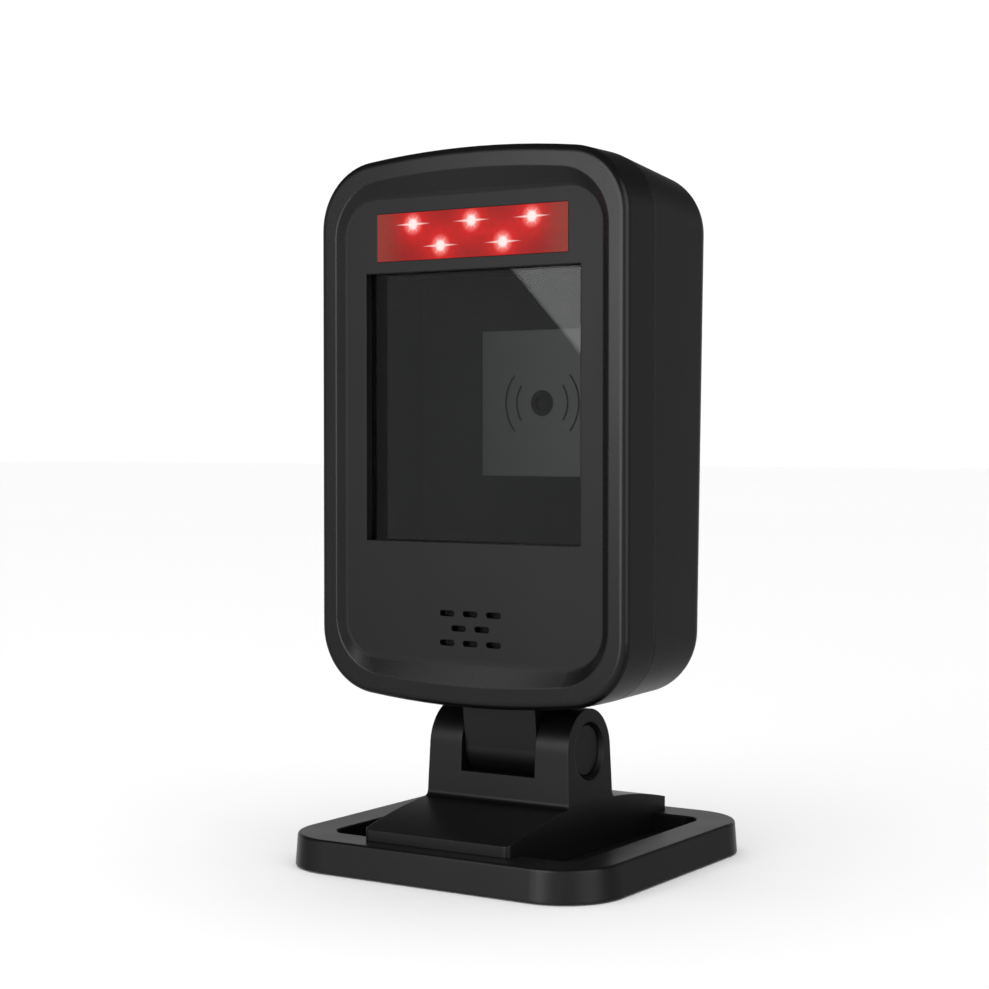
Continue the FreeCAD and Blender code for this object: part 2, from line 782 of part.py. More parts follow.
def make_rear_cover():
    body = new_body("rear_cover")
    rear_form(body, as_size(0.0))
    core = new_body("rear_core")
    rear_form(core, d.wall)
    before = volume_of(body)
    hollow = body.newObject("PartDesign::Boolean", "rear_hollow")
    hollow.setObjects([core])
    hollow.Type = "Cut"
    settle(body, before, False)

    for name, height in (("low", d.boss_low), ("high", d.boss_high)):
        bosses = Drawing(body, f"rear_bosses_{name}", "XZ_Plane", -d.boss_meeting)
        for x in (-d.boss_x, d.boss_x):
            bosses.circle(x, height, d.boss_radius + 0.4)
        pad(body, bosses, rear_face(height) - d.wall / 2 + d.boss_meeting, 1)
        wells = Drawing(body, f"rear_wells_{name}", "XZ_Plane", 20.0)
        for x in (-d.boss_x, d.boss_x):
            wells.circle(x, height, d.well_radius)
        pocket(body, wells, 20.0 - d.well_floor, -1)
        through = Drawing(body, f"rear_screw_holes_{name}", "XZ_Plane", d.well_floor + 1)
        for x in (-d.boss_x, d.boss_x):
            through.circle(x, height, 1.3)
        pocket(body, through, d.well_floor + d.boss_meeting + 2, -1)

    board_back = d.board_thickness - d.board_front
    for name, height in (("low", d.post_low), ("high", d.post_high)):
        posts = Drawing(body, f"board_posts_{name}", "XZ_Plane", board_back)
        for x in (-d.post_x, d.post_x):
            posts.circle(x, height, d.post_radius)
        pad(body, posts, rear_face(height) - d.wall / 2 - board_back, 1)
        holes = Drawing(body, f"board_post_holes_{name}", "XZ_Plane", board_back)
        for x in (-d.post_x, d.post_x):
            holes.circle(x, height, 0.8)
        pocket(body, holes, 5.0, 1)

    socket = Drawing(body, "socket_opening", "XZ_Plane", 20.0)
    socket.rectangle(-d.jack_width / 2 - 0.2, d.jack_width / 2 + 0.2,
                     d.jack_low - 0.2, d.jack_high + 0.2)
    pocket(body, socket, 14.0, -1)

    seats = Drawing(body, "neck_screw_seats", "XY_Plane", 35.6)
    for x in (-d.neck_screw_x, d.neck_screw_x):
        seats.circle(x, 0, 2.8)
    pad(body, seats, d.flange_bottom - 35.6, 1)
    neck_hole = Drawing(body, "neck_opening", "XY_Plane", 30.0)
    neck_hole.rectangle(-d.neck_width / 2 - 0.1, d.neck_width / 2 + 0.1,
                        -d.knuckle_radius - 0.1, d.knuckle_radius + 0.1)
    pocket(body, neck_hole, 9.0, 1)
    neck_pilots = Drawing(body, "neck_pilot_holes", "XY_Plane", d.flange_bottom)
    for x in (-d.neck_screw_x, d.neck_screw_x):
        neck_pilots.circle(x, 0, 1.0)
    pocket(body, neck_pilots, 1.9, -1)
    name_node(body, "rear_cover")


def make_window_parts():
    name_node(block("scan_window", (-chamber_half, pane_front, chamber_low),
                    (chamber_half, pane_back, chamber_high)), "scan_window")

    gasket = new_body("window_gasket")
    ring = Drawing(gasket, "gasket_ring", "XZ_Plane", pane_back)
    ring.rectangle(-chamber_half, chamber_half, chamber_low, chamber_high)
    inner = d.window_width / 2 + d.gasket_clearance
    ring.rectangle(-inner, inner, d.window_low - d.gasket_clearance,
                   d.window_high + d.gasket_clearance)
    pad(gasket, ring, d.gasket_thickness, 1)
    name_node(gasket, "window_gasket")

    baffle = new_body("light_baffle")
    shell = Drawing(baffle, "chamber_block", "XZ_Plane", chamber_front)
    shell.rectangle(-chamber_half, chamber_half, chamber_low, chamber_high)
    pad(baffle, shell, d.chamber_back - chamber_front, 1)
    tabs = Drawing(baffle, "chamber_tabs", "XZ_Plane", tab_front)
    for x, z in tab_places:
        inner, outer = (chamber_half - 1, as_size(33.8)) if x > 0 else (-33.8, 1 - chamber_half)
        tabs.rectangle(inner, outer, z - 3.0, z + 3.0)
    pad(baffle, tabs, tab_back - tab_front, 1)
    hollow = Drawing(baffle, "chamber_hollow", "XZ_Plane", chamber_front)
    hollow.rectangle(d.chamber_wall - chamber_half, chamber_half - d.chamber_wall,
                     chamber_low + d.chamber_wall, chamber_high - d.chamber_wall)
    plate_back = d.plate_front + d.engine_plate_thickness
    pocket(baffle, hollow, plate_back - chamber_front, 1)
    holes = Drawing(baffle, "tab_holes", "XZ_Plane", tab_back)
    for x, z in tab_places:
        holes.circle(x, z, 1.1)
    pocket(baffle, holes, 2.0, -1)
    lens_hole = Drawing(baffle, "chamber_lens_hole", "XZ_Plane", d.chamber_back)
    lens_hole.circle(d.engine_x, d.engine_z, d.barrel_radius + 0.4)
    for x in engine_screw_places:
        lens_hole.circle(x, d.engine_z, 0.8)
    pocket(baffle, lens_hole, 2.5, -1)
    name_node(baffle, "light_baffle")
    screw_set("baffle_screws", [(x, tab_back, z) for x, z in tab_places], "Y", 1,
              (1.8, 1.3), (0.95, 5.0))


engine_screw_places = [d.engine_x - 12.8, d.engine_x + 12.8]


def make_engine():
    plate = new_body("engine_plate")
    sheet_metal = Drawing(plate, "face_plate", "XZ_Plane", d.plate_front)
    sheet_metal.rectangle(d.engine_x - d.engine_plate_width / 2,
                          d.engine_x + d.engine_plate_width / 2,
                          d.engine_z - d.engine_plate_height / 2,
                          d.engine_z + d.engine_plate_height / 2)
    pad(plate, sheet_metal, d.engine_plate_thickness, 1)
    hole = Drawing(plate, "lens_hole", "XZ_Plane", d.plate_front)
    hole.circle(d.engine_x, d.engine_z, d.lens_hole_radius)
    pocket(plate, hole, d.engine_plate_thickness + 0.1, 1)
    waves = Drawing(plate, "wave_grooves", "XZ_Plane", d.plate_front)
    for radius, spread in ((6.15, 36), (8.9, 41)):
        for side in (-1, 1):
            wave_groove(waves, radius, 0.42, spread, side)
    pocket(plate, waves, 0.3, 1)
    name_node(plate, "engine_plate")

    low_z, high_z = d.engine_z - d.engine_height / 2, d.engine_z + d.engine_height / 2
    module = block("engine_module",
                   (d.engine_x - d.engine_width / 2, d.chamber_back, low_z),
                   (d.engine_x + d.engine_width / 2, d.chamber_back + d.engine_depth, high_z))
    flange = block("engine_flange", (d.engine_x - 15.0, d.chamber_back, d.engine_z - 4.0),
                   (d.engine_x + 15.0, d.chamber_back + 1.5, d.engine_z + 4.0))
    barrel_front = d.plate_front + 0.3
    barrel = rod("engine_barrel", (d.engine_x, barrel_front, d.engine_z), "Y",
                 d.barrel_radius, d.chamber_back + 1.0 - barrel_front)
    bore = rod("engine_bore", (d.engine_x, barrel_front - 1, d.engine_z), "Y", 2.0, 2.4)
    holes = [rod(f"engine_ear_hole_{number}", (x, d.chamber_back - 1, d.engine_z), "Y", 0.9, 4.0)
             for number, x in enumerate(engine_screw_places)]
    solid = joined("engine_solid", [module, flange, barrel])
    name_node(less("scan_engine", solid, [bore] + holes), "scan_engine")

    lens_body = rod("lens_disc", (d.engine_x, barrel_front + 0.5, d.engine_z), "Y", 1.95, 0.9)
    dome = doc.addObject("Part::Sphere", "lens_dome")
    bind(dome, "Radius", 3.6)
    place(dome, (d.engine_x, barrel_front + 3.9, d.engine_z))
    lens = doc.addObject("Part::Common", "engine_lens")
    lens.Base = lens_body
    lens.Tool = dome
    name_node(lens, "engine_lens")
    screw_set("engine_screws", [(x, d.chamber_back + 1.5, d.engine_z) for x in engine_screw_places],
              "Y", 1, (1.6, 1.1), (0.75, 2.8))


def wave_groove(drawing, radius, width, spread, side):
    """A curved groove about the lens, between -spread and +spread degrees of level."""
    outer = radius + width
    cosine, sine = math.cos(math.radians(spread)), math.sin(math.radians(spread))
    centre_x, centre_z = d.engine_x, d.engine_z
    corners = [
        (centre_x + side * radius * cosine, centre_z - radius * sine * side),
        (centre_x + side * outer * cosine, centre_z - outer * sine * side),
        (centre_x + side * outer * cosine, centre_z + outer * sine * side),
        (centre_x + side * radius * cosine, centre_z + radius * sine * side),
    ]
    drawing.profile(corners, {1: (outer, 1), 3: (radius, -1)})


def make_lamps():
    half, tall = d.led_window_width / 2, d.led_window_height / 2
    name_node(block("led_window",
                    (-half, panel_y, d.led_window_middle - tall),
                    (half, panel_y + d.led_window_thickness, d.led_window_middle + tall)),
              "led_window")
    board_half, board_tall = d.led_board_width / 2, d.led_board_height / 2
    name_node(block("led_board",
                    (-board_half, panel_inner_y, d.led_window_middle - board_tall),
                    (board_half, panel_inner_y + d.board_thickness,
                     d.led_window_middle + board_tall)), "led_board")
    places = [(d.led_pitch * step, d.led_row_high) for step in (-1, 0, 1)]
    places += [(d.led_pitch * step, d.led_row_low) for step in (-0.525, 0.525)]
    for number, (x, z) in enumerate(places, start=1):
        base = block(f"led_{number}_base", (x - 1.6, panel_inner_y - 0.7, z - 1.4),
                     (x + 1.6, panel_inner_y, z + 1.4))
        dome = doc.addObject("Part::Sphere", f"led_{number}_dome")
        bind(dome, "Radius", 1.2)
        place(dome, (x, panel_inner_y - 0.1, z))
        stop = block(f"led_{number}_stop", (x - 2, panel_inner_y, z - 2), (x + 2, -15.0, z + 2))
        lamp = less(f"led_{number}", joined(f"led_{number}_solid", [base, dome]), [stop])
        name_node(lamp, f"led_{number}")


def make_decoder():
    front, back = -d.board_front, d.board_thickness - d.board_front
    board = block("board_blank", (-d.board_width / 2, front, d.board_low),
                  (d.board_width / 2, back, d.board_high))
    chips = [
        block("processor", (-18.0, front - 1.2, 50.0), (-6.0, front, 62.0)),
        block("memory", (0.0, front - 1.0, 52.0), (8.0, front, 62.0)),
        block("flex_socket", (0.0, back, 61.6), (9.0, back + 1.4, 65.6)),
        block("power_choke", (12.0, front - 2.2, 46.0), (17.0, front, 51.0)),
    ]
    posts = [(x, z) for x in (-d.post_x, d.post_x) for z in (d.post_low, d.post_high)]
    holes = [rod(f"board_hole_{number}", (x, front - 1, z), "Y", 1.0, 4.0)
             for number, (x, z) in enumerate(posts)]
    name_node(less("main_board", joined("board_solid", [board] + chips), holes), "main_board")
    screw_set("board_screws", [(x, front, z) for x, z in posts], "Y", -1, (1.6, 1.2), (0.75, 5.0))

    half_jack, half_socket = d.jack_width / 2, d.socket_width / 2
    shell = block("jack_shell", (-half_jack, back, d.jack_low),
                  (half_jack, d.jack_mouth, d.jack_high))
    socket = block("jack_socket", (-half_socket, back + 2.0, d.socket_low),
                   (half_socket, d.jack_mouth + 1, d.socket_high))
    latch = block("jack_latch", (-3.2, back + 4.0, d.socket_high - 1),
                  (3.2, d.jack_mouth + 1, d.socket_high + 1.6))
    name_node(less("interface_jack", shell, [socket, latch]), "interface_jack")
    contacts = []
    for number in range(8):
        x = 1.02 * (number - 3.5)
        contacts.append(block(f"contact_{number}", (x - 0.2, back + 2.0, d.socket_low),
                              (x + 0.2, back + 8.5, d.socket_low + 0.4)))
    name_node(grouped("jack_contacts", contacts), "jack_contacts")

    name_node(rod("speaker_felt", (0, panel_inner_y, d.speaker_middle), "Y",
                  d.speaker_radius, d.speaker_felt), "speaker_felt")
    cone_y = panel_inner_y + d.speaker_felt
    disc = rod("speaker_case", (0, cone_y, d.speaker_middle), "Y",
               d.speaker_radius, d.speaker_depth)
    magnet = rod("speaker_magnet", (0, cone_y, d.speaker_middle), "Y", 4.5,
                 d.speaker_depth + 1.2)
    name_node(joined("speaker", [disc, magnet]), "speaker")

    flex = new_body("engine_flex")
    strip = Drawing(flex, "flex_route", "YZ_Plane", d.engine_x - 4.0)
    top = d.engine_z - d.engine_height / 2
    plug = back + 1.4
    strip.profile([(7.5, top), (7.5, 66.0), (5.5, 64.0), (plug, 64.0), (plug, 63.6),
                   (5.5, 63.6), (7.9, 66.0), (7.9, top)],
                  {1: (2.0, -1), 5: (2.4, 1)})
    pad(flex, strip, 8.0, 1)
    name_node(flex, "engine_flex")


def make_neck():
    body = new_body("neck_bracket")
    radius, axis_z = d.knuckle_radius, d.hinge_height
    top = d.flange_bottom + 0.5
    side = Drawing(body, "knuckle_side", "YZ_Plane", -d.neck_width / 2)
    side.profile([(-radius, axis_z), (0, axis_z - radius), (radius, axis_z),
                  (radius, top), (-radius, top), (-radius, d.neck_shoulder),
                  (-radius - d.neck_front_lean, d.neck_shoulder)],
                 {0: (radius, 1), 1: (radius, 1)})
    pad(body, side, d.neck_width, 1)
    flange = Drawing(body, "neck_flange", "XY_Plane", d.flange_bottom)
    flange.rounded(d.flange_width / 2, radius - 0.1, 2.0)
    pad(body, flange, d.flange_thickness, 1)
    for name, level, toward in (("right", d.neck_width / 2, -1), ("left", -d.neck_width / 2, 1)):
        seat = Drawing(body, f"friction_seat_{name}", "YZ_Plane", level)
        seat.circle(0, axis_z, d.friction_seat_radius)
        pocket(body, seat, d.friction_seat_depth, toward)
    bore = Drawing(body, "knuckle_bore", "YZ_Plane", -d.neck_width)
    bore.circle(0, axis_z, d.bolt_hole_knuckle)
    pocket(body, bore, d.neck_width * 2, 1)
    holes = Drawing(body, "flange_holes", "XY_Plane", d.flange_bottom)
    for x in (-d.neck_screw_x, d.neck_screw_x):
        holes.circle(x, 0, 1.4)
    pocket(body, holes, d.flange_thickness + 0.1, 1)
    name_node(body, "neck_bracket")
    flange_top = d.flange_bottom + d.flange_thickness
    screw_set("neck_screws", [(x, 0, flange_top) for x in (-d.neck_screw_x, d.neck_screw_x)],
              "Z", 1, (2.3, 1.6), (1.1, 4.0))


# ---------------------------------------------------------------------------
# Hinge
# ---------------------------------------------------------------------------

def make_hinge():
    axis_z, pocket_floor = d.hinge_height, d.head_pocket_floor
    nut_end = pocket_floor + d.lock_washer_thickness + d.nut_height
    shank = rod("bolt_shank", (-nut_end, 0, axis_z), "X", d.bolt_radius, nut_end + pocket_floor)
    head = rod("bolt_head", (pocket_floor, 0, axis_z), "X", d.bolt_head_radius,
               d.bolt_head_height)
    socket = doc.addObject("Part::Prism", "bolt_socket")
    socket.Polygon = 6
    socket.Placement = FreeCAD.Placement(FreeCAD.Vector(), TURNS["X"])
    bind(socket, "Circumradius", 1.45)
    bind(socket, "Height", 2.0)
    place(socket, (pocket_floor + d.bolt_head_height - 1.4, 0, axis_z))
    name_node(less("hinge_bolt", joined("bolt_solid", [shank, head]), [socket]), "hinge_bolt")

    nut = doc.addObject("Part::Prism", "nut_blank")
    nut.Polygon = 6
    nut.Placement = FreeCAD.Placement(FreeCAD.Vector(), TURNS["X"])
    bind(nut, "Circumradius", d.nut_radius)
    bind(nut, "Height", d.nut_height)
    place(nut, (-nut_end, 0, axis_z))
    thread = rod("nut_thread", (-nut_end - 1, 0, axis_z), "X", d.bolt_radius, d.nut_height + 2)
    name_node(less("hinge_nut", nut, [thread]), "hinge_nut")

    washer_start = -pocket_floor - d.lock_washer_thickness
    ring = rod("lock_ring", (washer_start, 0, axis_z), "X", 3.5, d.lock_washer_thickness)
    eye = rod("lock_eye", (washer_start - 1, 0, axis_z), "X", d.bolt_radius + 0.05, 3.0)
    split = block("lock_split", (washer_start - 1, -0.4, axis_z + 1), (-pocket_floor + 1, 0.4,
                                                                     axis_z + 5))
    name_node(less("spring_washer", ring, [eye, split]), "spring_washer")

    seat_face = d.neck_width / 2 - d.friction_seat_depth
    for name, start in (("left", -seat_face - 0.02 - d.friction_washer_thickness),
                        ("right", seat_face + 0.02)):
        disc = rod(f"friction_disc_{name}", (start, 0, axis_z), "X", d.friction_washer_radius,
                   d.friction_washer_thickness)
        eye = rod(f"friction_eye_{name}", (start - 1, 0, axis_z), "X", d.bolt_radius + 0.05, 3.0)
        name_node(less(f"friction_washer_{name}", disc, [eye]), f"friction_washer_{name}")

    cap_outer = d.bracket_width / 2 - d.cap_recess_depth
    for name, start in (("left", -cap_outer), ("right", cap_outer - d.cap_thickness)):
        disc = rod(f"cap_disc_{name}", (start, 0, axis_z), "X", d.cap_radius, d.cap_thickness)
        outer = -cap_outer if name == "left" else cap_outer
        cap = chamfered(f"hinge_cap_{name}", disc, 0.25,
                        lambda edge, outer=outer: every_point(edge, lambda p: near(p.x, outer)))
        name_node(cap, f"hinge_cap_{name}")


# ---------------------------------------------------------------------------
# Stand
# ---------------------------------------------------------------------------

def make_stand_bracket():
    body = new_body("stand_bracket")
    half, axis_z = d.bracket_width / 2, d.hinge_height
    inside = d.recess_depth / 2 - 0.1
    flanks = Drawing(body, "foot_flanks", "XY_Plane", d.floor_top)
    flanks.rectangle(-half, half, d.recess_middle - inside, d.recess_middle + inside)
    pad(body, flanks, d.plate_crown_top - d.floor_top, 1)
    plate = Drawing(body, "foot_plate", "XY_Plane", d.base_top)
    plate.rounded(half, (d.foot_plate_front + d.foot_plate_rear) / 2, d.plate_corner,
                  (d.foot_plate_rear - d.foot_plate_front) / 2)
    pad(body, plate, d.plate_crown_top - d.base_top, 1)

    reach = d.foot_plate_front + d.plate_crown_middle
    drop = d.plate_crown_top - d.plate_end_top
    crown_radius = (reach * reach + drop * drop) / (drop * 2)
    start, end = d.plate_crown_middle - reach, d.plate_crown_middle + reach
    above = Drawing(body, "foot_crown", "YZ_Plane", -45.0)
    above.profile([(start, d.plate_end_top), (end, d.plate_end_top), (end + 4, d.plate_end_top),
                   (end + 4, 30.0), (start - 4, 30.0), (start - 4, d.plate_end_top)],
                  {0: (crown_radius, -1)})
    pocket(body, above, 90.0, 1)

    radius = d.ear_radius
    ear_root = d.plate_end_top - 0.2
    foot = radius + (axis_z - ear_root) * d.ear_front_lean
    ears = Drawing(body, "ear_side", "YZ_Plane", -half)
    ears.profile([(-foot, ear_root), (foot, ear_root), (radius, axis_z), (0, axis_z + radius),
                  (-radius, axis_z)], {2: (radius, 1), 3: (radius, 1)})
    pad(body, ears, half * 2, 1)

    round_edges(body, "ear_foot", d.ear_foot_round,
                lambda edge: every_point(edge, lambda p: radius.value < abs(p.y) < foot.value
                                         and p.z < d.plate_crown_top.value)
                and edge.BoundBox.XLength > 10.0)
    ear_top = axis_z + radius + 1.0
    lean = (ear_top - d.plate_crown_top) * d.ear_side_lean
    for name, side in (("left", -1), ("right", 1)):
        wedge = Drawing(body, f"ear_lean_{name}", "XZ_Plane", -12.0)
        wedge.profile([(half * side, d.plate_crown_top), ((half + 1) * side, d.plate_crown_top),
                       ((half + 1) * side, ear_top), ((half - lean) * side, ear_top)])
        pocket(body, wedge, 24.0, 1)

    slot = Drawing(body, "knuckle_slot", "XZ_Plane", -12.0)
    slot.rectangle(-d.slot_width / 2, d.slot_width / 2, d.slot_floor, 40.0)
    pocket(body, slot, 24.0, 1)
    trough = Drawing(body, "knuckle_trough", "YZ_Plane", -d.slot_width / 2)
    trough.circle(0, axis_z, d.trough_radius)
    pocket(body, trough, d.slot_width, 1)

    for name, toward in (("right", -1), ("left", 1)):
        level = -toward * half
        mouth = Drawing(body, f"cap_mouth_{name}", "YZ_Plane", level)
        mouth.circle(0, axis_z, d.cap_recess_mouth)
        pocket(body, mouth, d.cap_recess_depth, toward)
        bind(body.Tip, "TaperAngle", -d.cap_recess_angle)
        doc.recompute()
        recess = Drawing(body, f"cap_recess_{name}", "YZ_Plane", level)
        recess.circle(0, axis_z, d.cap_recess_radius)
        pocket(body, recess, d.cap_recess_depth + d.cap_thickness, toward)
        well = Drawing(body, f"bolt_well_{name}", "YZ_Plane", level)
        well.circle(0, axis_z, d.head_pocket_radius)
        pocket(body, well, half - d.head_pocket_floor, toward)
    bore = Drawing(body, "ear_bore", "YZ_Plane", -half)
    bore.circle(0, axis_z, d.bolt_hole_ear)
    pocket(body, bore, half * 2, 1)

    cavity = Drawing(body, "weight_cavity", "XY_Plane", d.floor_top)
    cavity.rounded(d.weight_cavity_width / 2, d.weight_cavity_length / 2, 1.5)
    pocket(body, cavity, d.weight_cavity_top - d.floor_top, 1)
    bosses = Drawing(body, "bracket_bosses", "XY_Plane", d.floor_top)
    for x, y in four(d.bracket_screw_x, d.bracket_screw_y):
        bosses.circle(x, y, 3.2)
    pad(body, bosses, d.weight_cavity_top - d.floor_top + 0.3, 1)
    pilots = Drawing(body, "bracket_pilots", "XY_Plane", d.floor_top)
    for x, y in four(d.bracket_screw_x, d.bracket_screw_y):
        pilots.circle(x, y, 1.1)
    pocket(body, pilots, 6.0, 1)
    name_node(body, "stand_bracket")


def make_base_frame():
    body = new_body("base_frame")
    half_x, half_y = d.base_width / 2, d.base_depth / 2
    outline = Drawing(body, "ring_outline", "XY_Plane", d.base_bottom)
    outline.rounded(half_x, half_y, d.base_corner)
    pad(body, outline, d.base_top - d.base_bottom, 1)
    bind(body.Tip, "TaperAngle", -d.base_draft_angle)
    doc.recompute()
    round_edges(body, "ring_edge", d.base_edge_round,
                lambda edge: every_point(edge, lambda p: near(p.z, d.base_top)))

    recess_x, recess_y = d.recess_width / 2, d.recess_depth / 2
    recess = Drawing(body, "floor_recess", "XY_Plane", d.base_top)
    recess.rounded(recess_x, recess_y, d.recess_corner, d.recess_middle)
    pocket(body, recess, d.base_top - d.floor_top, -1)
    round_edges(body, "recess_edge", d.recess_edge_round,
                lambda edge: every_point(edge, lambda p: near(p.z, d.base_top)
                                         and abs(p.x) < recess_x.value + 0.01
                                         and abs(p.y - d.recess_middle.value)
                                         < recess_y.value + 0.01))

    seat_top = d.base_bottom + d.cover_thickness
    seat = Drawing(body, "cover_seat", "XY_Plane", d.base_bottom)
    seat.rounded(half_x - d.ring_wall, half_y - d.ring_wall, d.base_corner - d.ring_wall)
    pocket(body, seat, d.cover_thickness, 1)
    channel = Drawing(body, "ring_channel", "XY_Plane", seat_top)
    outer = d.ring_wall + 0.5
    channel.rounded(half_x - outer, half_y - outer, d.base_corner - outer)
    channel.rounded(recess_x + d.ring_wall, recess_y + d.ring_wall,
                    d.recess_corner + d.ring_wall, d.recess_middle)
    pocket(body, channel, d.base_top - d.ring_roof - seat_top, 1)
    bosses = Drawing(body, "ring_bosses", "XY_Plane", seat_top)
    for x, y in four(d.base_screw_x, d.base_screw_y):
        bosses.circle(x, y, 2.4)
    pad(body, bosses, d.base_top - d.ring_roof - seat_top + 0.2, 1)
    pilots = Drawing(body, "ring_pilots", "XY_Plane", seat_top)
    for x, y in four(d.base_screw_x, d.base_screw_y):
        pilots.circle(x, y, 0.9)
    pocket(body, pilots, 3.6, 1)
    sinks = Drawing(body, "floor_screw_sinks", "XY_Plane", seat_top)
    for x, y in four(d.bracket_screw_x, d.bracket_screw_y):
        sinks.circle(x, y, 2.6)
    pocket(body, sinks, 0.8, 1)
    holes = Drawing(body, "floor_screw_holes", "XY_Plane", seat_top)
    for x, y in four(d.bracket_screw_x, d.bracket_screw_y):
        holes.circle(x, y, 1.4)
    pocket(body, holes, d.floor_thickness + 0.5, 1)
    name_node(body, "base_frame")
    screw_set("bracket_screws", [(x, y, seat_top + 0.8)
                                 for x, y in four(d.bracket_screw_x, d.bracket_screw_y)],
              "Z", -1, (2.4, 0.7), (1.2, 6.0))


def make_base_cover():
    body = new_body("base_cover")
    inset = d.ring_wall + d.cover_gap
    half_x, half_y = d.base_width / 2 - inset, d.base_depth / 2 - inset
    plate = Drawing(body, "cover_plate", "XY_Plane", d.base_bottom)
    plate.rounded(half_x, half_y, d.base_corner - inset)
    pad(body, plate, d.cover_thickness, 1)
    feet = Drawing(body, "foot_recesses", "XY_Plane", d.base_bottom)
    for x, y in four(d.foot_x, d.foot_y):
        feet.circle(x, y, d.foot_radius + 0.1)
    pocket(body, feet, d.foot_height - d.base_bottom, 1)
    sinks = Drawing(body, "cover_screw_sinks", "XY_Plane", d.base_bottom)
    holes = Drawing(body, "cover_screw_holes", "XY_Plane", d.base_bottom)
    for x, y in four(d.base_screw_x, d.base_screw_y):
        sinks.circle(x, y, 2.1)
        holes.circle(x, y, 1.2)
    pocket(body, sinks, 0.7, 1)
    pocket(body, holes, d.cover_thickness + 0.1, 1)
    name_node(body, "base_cover")
    screw_set("base_screws", [(x, y, d.base_bottom + 0.7)
                              for x, y in four(d.base_screw_x, d.base_screw_y)],
              "Z", -1, (1.9, 0.6), (0.95, 3.9))

    for number, (x, y) in enumerate(four(d.foot_x, d.foot_y), start=1):
        disc = rod(f"foot_{number}_disc", (x, y, 0), "Z", d.foot_radius, d.foot_height)
        foot = chamfered(f"foot_{number}", disc, 0.2,
                         lambda edge: every_point(edge, lambda p: near(p.z, 0)))
        name_node(foot, f"foot_{number}")


def make_weight():
    half_x = d.weight_cavity_width / 2 - d.weight_gap
    half_y = d.weight_cavity_length / 2 - d.weight_gap
    slab = block("weight_slab", (-half_x, -half_y, d.floor_top),
                 (half_x, half_y, d.weight_cavity_top - d.weight_gap))
    holes = [rod(f"weight_hole_{number}", (x, y, d.floor_top - 1), "Z", 3.5, 8.0)
             for number, (x, y) in enumerate(four(d.bracket_screw_x, d.bracket_screw_y))]
    plate = chamfered("weight_plate", slab, 1.0,
                      lambda edge: every_point(edge, lambda p: near(abs(p.x), half_x)
                                               and near(abs(p.y), half_y)))
    name_node(less("base_weight", plate, holes), "base_weight")


make_front_housing()
make_rear_cover()
screw_set("housing_screws", [(x, d.well_floor, z) for x, z in boss_places], "Y", 1,
          (2.4, 1.6), (1.1, 13.0))
make_window_parts()
make_engine()
make_lamps()
make_decoder()
make_neck()
make_hinge()
make_stand_bracket()
make_base_frame()
make_base_cover()
make_weight()
doc.recompute()

for item in doc.Objects:
    if "Invalid" in item.State or "Error" in item.State:
        raise RuntimeError(f"{item.Name} failed: {item.State}")
for label, item in NODES.items():
    if item.Shape.isNull() or not item.Shape.isValid():
        raise RuntimeError(f"{label} has no valid shape")
for label, item in NODES.items():
    item.Shape.exportStep(f"parts/{label}.step")
    box = item.Shape.optimalBoundingBox(False)
    print(f"{label:24s} {len(item.Shape.Solids)} solids {item.Shape.Volume:10.2f} mm3 "
          f"x {box.XMin:.2f}..{box.XMax:.2f} y {box.YMin:.2f}..{box.YMax:.2f} "
          f"z {box.ZMin:.2f}..{box.ZMax:.2f}")
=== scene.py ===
"""Looks of the hands-free presentation scanner: materials, floor, studio light and camera."""
import math

import bpy
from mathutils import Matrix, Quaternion, Vector


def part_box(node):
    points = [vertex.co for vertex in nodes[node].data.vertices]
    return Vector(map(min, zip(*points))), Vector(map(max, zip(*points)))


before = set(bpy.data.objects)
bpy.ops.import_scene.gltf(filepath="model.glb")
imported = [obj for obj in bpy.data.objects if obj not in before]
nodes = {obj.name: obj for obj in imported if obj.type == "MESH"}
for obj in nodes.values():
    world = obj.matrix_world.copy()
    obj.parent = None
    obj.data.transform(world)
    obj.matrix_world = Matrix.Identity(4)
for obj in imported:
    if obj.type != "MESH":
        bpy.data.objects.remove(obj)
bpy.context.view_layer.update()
MM = 0.001


# ---------------------------------------------------------------- node helpers

